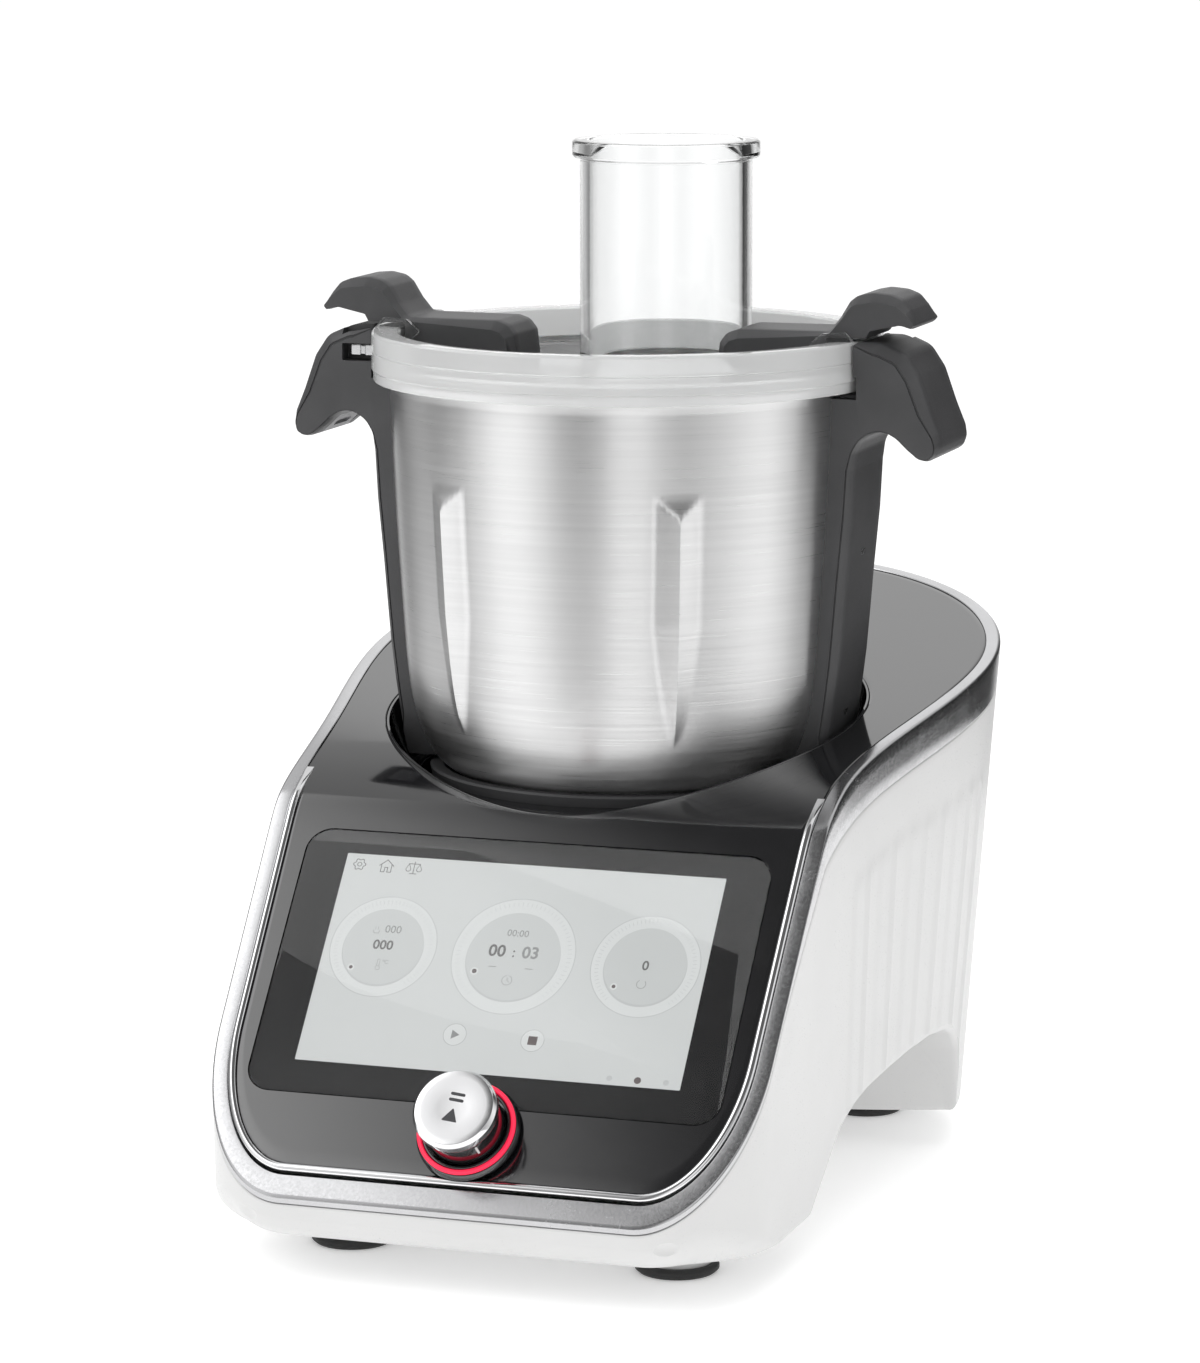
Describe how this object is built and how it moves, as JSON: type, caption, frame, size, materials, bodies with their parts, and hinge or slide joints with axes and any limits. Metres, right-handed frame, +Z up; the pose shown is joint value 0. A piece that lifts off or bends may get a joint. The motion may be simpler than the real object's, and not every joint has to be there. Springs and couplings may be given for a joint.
{
  "type": "cooking food processor",
  "caption": "Countertop cooking food processor with a heated steel bowl, blade, clear lid with feed tube, latch levers, touch screen and lit control knob.",
  "frame": {"origin": "on the floor under the axis of the bowl, close to the middle of the footprint", "axes": "+Z up, the screen and the knob face -Y, +X to the right of someone who faces the screen"},
  "size_m": [0.269, 0.4206, 0.415],
  "materials": {
    "white_plastic": "gloss",
    "trim_metal": "satin",
    "bright_metal": "polished",
    "gloss_black": "gloss",
    "satin_black": "satin",
    "grey_plastic": "satin",
    "screen_glass": "gloss",
    "display": "lit",
    "ring_light": "lit",
    "board": "matte",
    "clear_plastic": "clear",
    "rubber": "matte",
    "seal_rubber": "matte",
    "bowl_steel": "brushed",
    "steel": "satin",
    "iron": "satin",
    "aluminium": "satin",
    "brass": "satin"
  },
  "bodies": {
    "base": {"base_housing": "white_plastic", "bottom_cover": "white_plastic", "trim_band": "trim_metal", "deck_cover": "gloss_black", "well_liner": "gloss_black", "front_panel": "gloss_black", "chrome_bead": "bright_metal", "screen_glass": "screen_glass", "display_module": "display", "control_board": "board", "knob_collar": "gloss_black", "light_ring": "ring_light", "encoder_body": "grey_plastic", "knob_spring": "steel", "foot_posts": "white_plastic", "foot_pads": "rubber", "load_cells": "aluminium", "motor_can": "steel", "motor_stator": "iron", "motor_bearings": "steel", "motor_bracket": "aluminium", "motor_buffers": "rubber", "connector_socket": "satin_black", "connector_pins": "brass", "power_board": "board", "rear_plate": "satin_black", "power_inlet": "satin_black", "inlet_pins": "brass", "bottom_screws": "steel"},
    "rotor": {"motor_shaft": "steel", "motor_rotor": "iron", "motor_fan": "grey_plastic", "drive_dog": "grey_plastic"},
    "power_switch": {"power_switch": "satin_black"},
    "knob_plunger": {"knob_plunger": "grey_plastic"},
    "knob": {"knob_shaft": "steel", "knob_skirt": "gloss_black", "knob_cap": "bright_metal"},
    "bowl": {"bowl_shell": "bowl_steel", "bowl_base_cup": "satin_black", "heater_plate": "aluminium", "heating_element": "steel", "connector_block": "satin_black", "handle_left": "satin_black", "handle_right": "satin_black", "handle_inserts": "grey_plastic", "handle_screws": "steel", "blade_bearing": "satin_black"},
    "blade": {"blade_coupling": "grey_plastic", "blade_shaft": "steel", "blade_set": "bowl_steel", "blade_nut": "steel"},
    "lid": {"lid": "clear_plastic", "feed_tube": "clear_plastic", "lid_seal": "seal_rubber", "latch_springs": "steel"},
    "latch_left": {"latch_left": "satin_black", "bolt_left": "steel"},
    "latch_right": {"latch_right": "satin_black", "bolt_right": "steel"}
  },
  "joints": [
    {"name": "bowl_lift", "type": "slide", "parent": "base", "child": "bowl", "axis": [0, 0, 1], "range_m": [0, 0.1]},
    {"name": "lid_lift", "type": "slide", "parent": "bowl", "child": "lid", "axis": [0, 0, 1], "range_m": [0, 0.06]},
    {"name": "left_latch_squeeze", "type": "slide", "parent": "lid", "child": "latch_left", "axis": [1, 0, 0], "range_m": [0, 0.01], "stiffness_N_per_m": 400, "springref_m": -0.008},
    {"name": "right_latch_squeeze", "type": "slide", "parent": "lid", "child": "latch_right", "axis": [-1, 0, 0], "range_m": [0, 0.01], "stiffness_N_per_m": 400, "springref_m": -0.008},
    {"name": "motor_spin", "type": "hinge", "parent": "base", "child": "rotor", "pos_m": [0, 0, 0.08], "axis": [0, 0, 1], "continuous": true},
    {"name": "blade_spin", "type": "hinge", "parent": "bowl", "child": "blade", "pos_m": [0, 0, 0.18], "axis": [0, 0, 1], "continuous": true},
    {"name": "knob_press", "type": "slide", "parent": "base", "child": "knob_plunger", "axis": [0, 0.7694, -0.6388], "range_m": [0, 0.0008], "stiffness_N_per_m": 1500, "springref_m": -0.0012},
    {"name": "knob_turn", "type": "hinge", "parent": "knob_plunger", "child": "knob", "pos_m": [0, -0.18547, 0.05956], "axis": [0, -0.7694, 0.6388], "continuous": true},
    {"name": "switch_rock", "type": "hinge", "parent": "base", "child": "power_switch", "pos_m": [0.0175, 0.181, 0.058], "axis": [1, 0, 0], "range_deg": [-16, 0]}
  ],
  "couplings": [
    {"joint": "blade_spin", "follows": "motor_spin", "ratio": 1}
  ]
}
